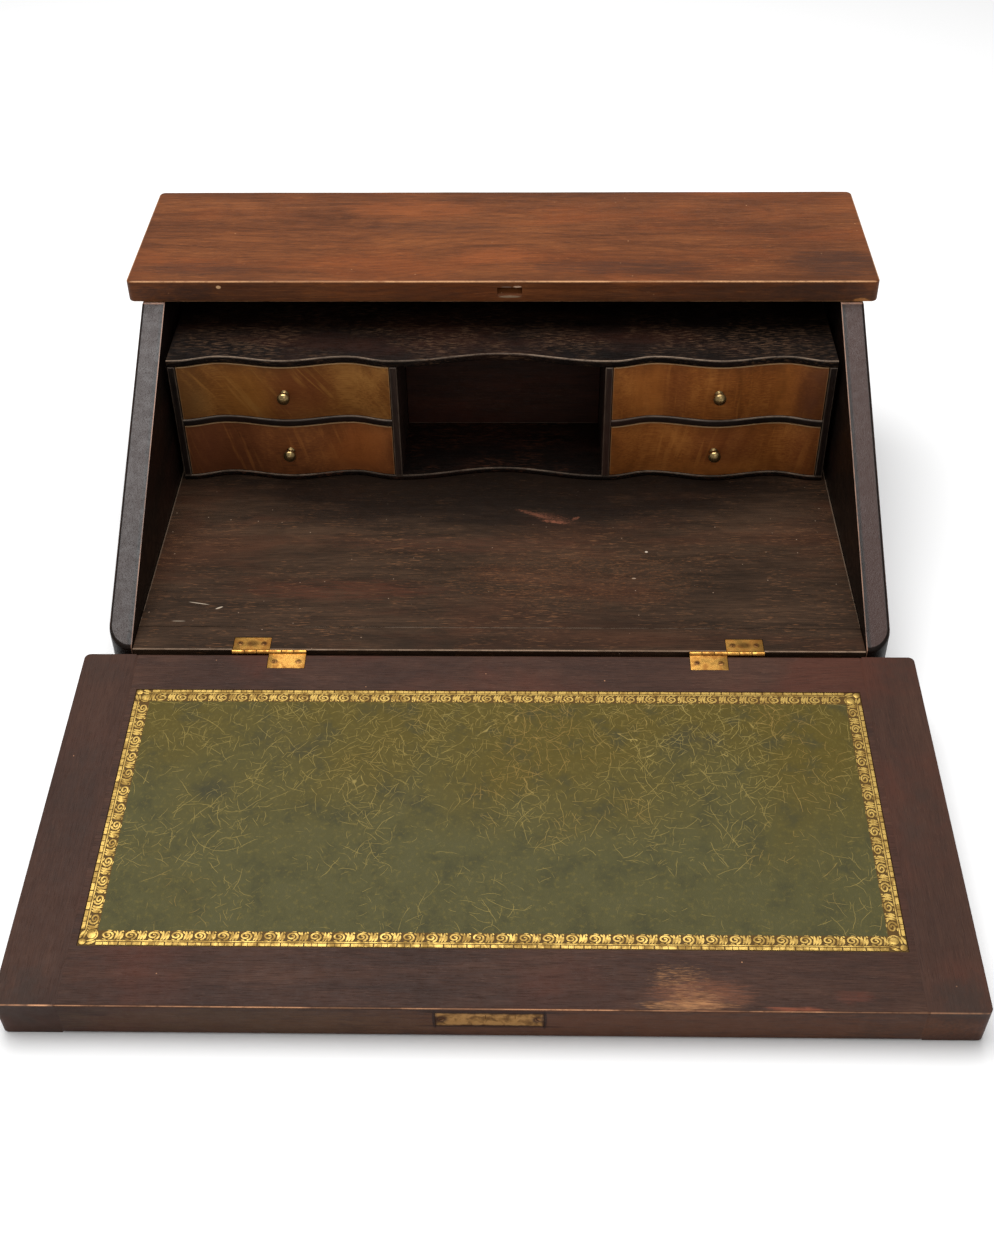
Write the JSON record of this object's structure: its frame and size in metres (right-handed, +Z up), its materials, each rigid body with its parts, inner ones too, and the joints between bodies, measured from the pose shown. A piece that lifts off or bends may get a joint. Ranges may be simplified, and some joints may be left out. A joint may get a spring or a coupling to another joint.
{
  "type": "slant-front desk",
  "caption": "Table-top slant-front desk: a hinged fall with a leather writing surface opens on a small serpentine cabinet of drawers beside a pigeonhole.",
  "frame": {"origin": "middle of the underside of the case's bottom board, on the table", "axes": "+X to the right of the person who writes at the desk, +Y towards the back, +Z up; the fall is open at rest and reaches towards -Y"},
  "size_m": [0.641, 0.753, 0.231],
  "materials": {
    "top_wood": "worn waxed red-brown hardwood, satin",
    "case_wood": "dark stained hardwood, worn satin",
    "fall_wood": "dark red-brown hardwood, worn satin",
    "cabinet_wood": "dark stained hardwood, satin",
    "drawer_wood": "figured golden-brown hardwood, satin",
    "lining_wood": "plain unpolished secondary wood",
    "leather": "crackled olive-green skiver with a gilt border",
    "brass": "aged brass"
  },
  "bodies": {
    "case": {"top_board": "top_wood", "left_side_panel": "case_wood", "right_side_panel": "case_wood", "floor_board": "case_wood", "floor_front_lipping": "case_wood", "base_front_rail": "case_wood", "bottom_board": "lining_wood", "back_panel": "case_wood", "cabinet_base": "cabinet_wood", "cabinet_top": "cabinet_wood", "cabinet_left_side": "cabinet_wood", "cabinet_right_side": "cabinet_wood", "left_divider": "cabinet_wood", "right_divider": "cabinet_wood", "left_drawer_shelf": "cabinet_wood", "right_drawer_shelf": "cabinet_wood", "pigeonhole_back": "cabinet_wood", "left_hinge_case_leaf": "brass", "right_hinge_case_leaf": "brass", "left_hinge_pin": "brass", "right_hinge_pin": "brass"},
    "fall": {"fall_board": "fall_wood", "fall_left_cleat": "fall_wood", "fall_right_cleat": "fall_wood", "writing_leather": "leather", "lock_face_plate": "brass", "lock_case": "brass", "keyhole_escutcheon": "brass", "left_hinge_fall_leaf": "brass", "right_hinge_fall_leaf": "brass"},
    "bolt": {"lock_bolt": "brass"},
    "upper_left_drawer": {"upper_left_drawer_front": "drawer_wood", "upper_left_drawer_left_side": "lining_wood", "upper_left_drawer_right_side": "lining_wood", "upper_left_drawer_back": "lining_wood", "upper_left_drawer_bottom": "lining_wood", "upper_left_drawer_knob": "brass"},
    "lower_left_drawer": {"lower_left_drawer_front": "drawer_wood", "lower_left_drawer_left_side": "lining_wood", "lower_left_drawer_right_side": "lining_wood", "lower_left_drawer_back": "lining_wood", "lower_left_drawer_bottom": "lining_wood", "lower_left_drawer_knob": "brass"},
    "upper_right_drawer": {"upper_right_drawer_front": "drawer_wood", "upper_right_drawer_left_side": "lining_wood", "upper_right_drawer_right_side": "lining_wood", "upper_right_drawer_back": "lining_wood", "upper_right_drawer_bottom": "lining_wood", "upper_right_drawer_knob": "brass"},
    "lower_right_drawer": {"lower_right_drawer_front": "drawer_wood", "lower_right_drawer_left_side": "lining_wood", "lower_right_drawer_right_side": "lining_wood", "lower_right_drawer_back": "lining_wood", "lower_right_drawer_bottom": "lining_wood", "lower_right_drawer_knob": "brass"}
  },
  "joints": [
    {"name": "fall_hinge", "type": "hinge", "parent": "case", "child": "fall", "pos_m": [0, -0.2209, 0.06], "axis": [-1, 0, 0], "range_deg": [0, 156.07]},
    {"name": "upper_left_drawer_slide", "type": "slide", "parent": "case", "child": "upper_left_drawer", "axis": [0, 1, 0], "range_m": [-0.13, 0]},
    {"name": "lower_left_drawer_slide", "type": "slide", "parent": "case", "child": "lower_left_drawer", "axis": [0, 1, 0], "range_m": [-0.13, 0]},
    {"name": "upper_right_drawer_slide", "type": "slide", "parent": "case", "child": "upper_right_drawer", "axis": [0, 1, 0], "range_m": [-0.13, 0]},
    {"name": "lower_right_drawer_slide", "type": "slide", "parent": "case", "child": "lower_right_drawer", "axis": [0, 1, 0], "range_m": [-0.13, 0]},
    {"name": "bolt_slide", "type": "slide", "parent": "fall", "child": "bolt", "axis": [0, -0.9964, -0.0852], "range_m": [0, 0.013]}
  ]
}
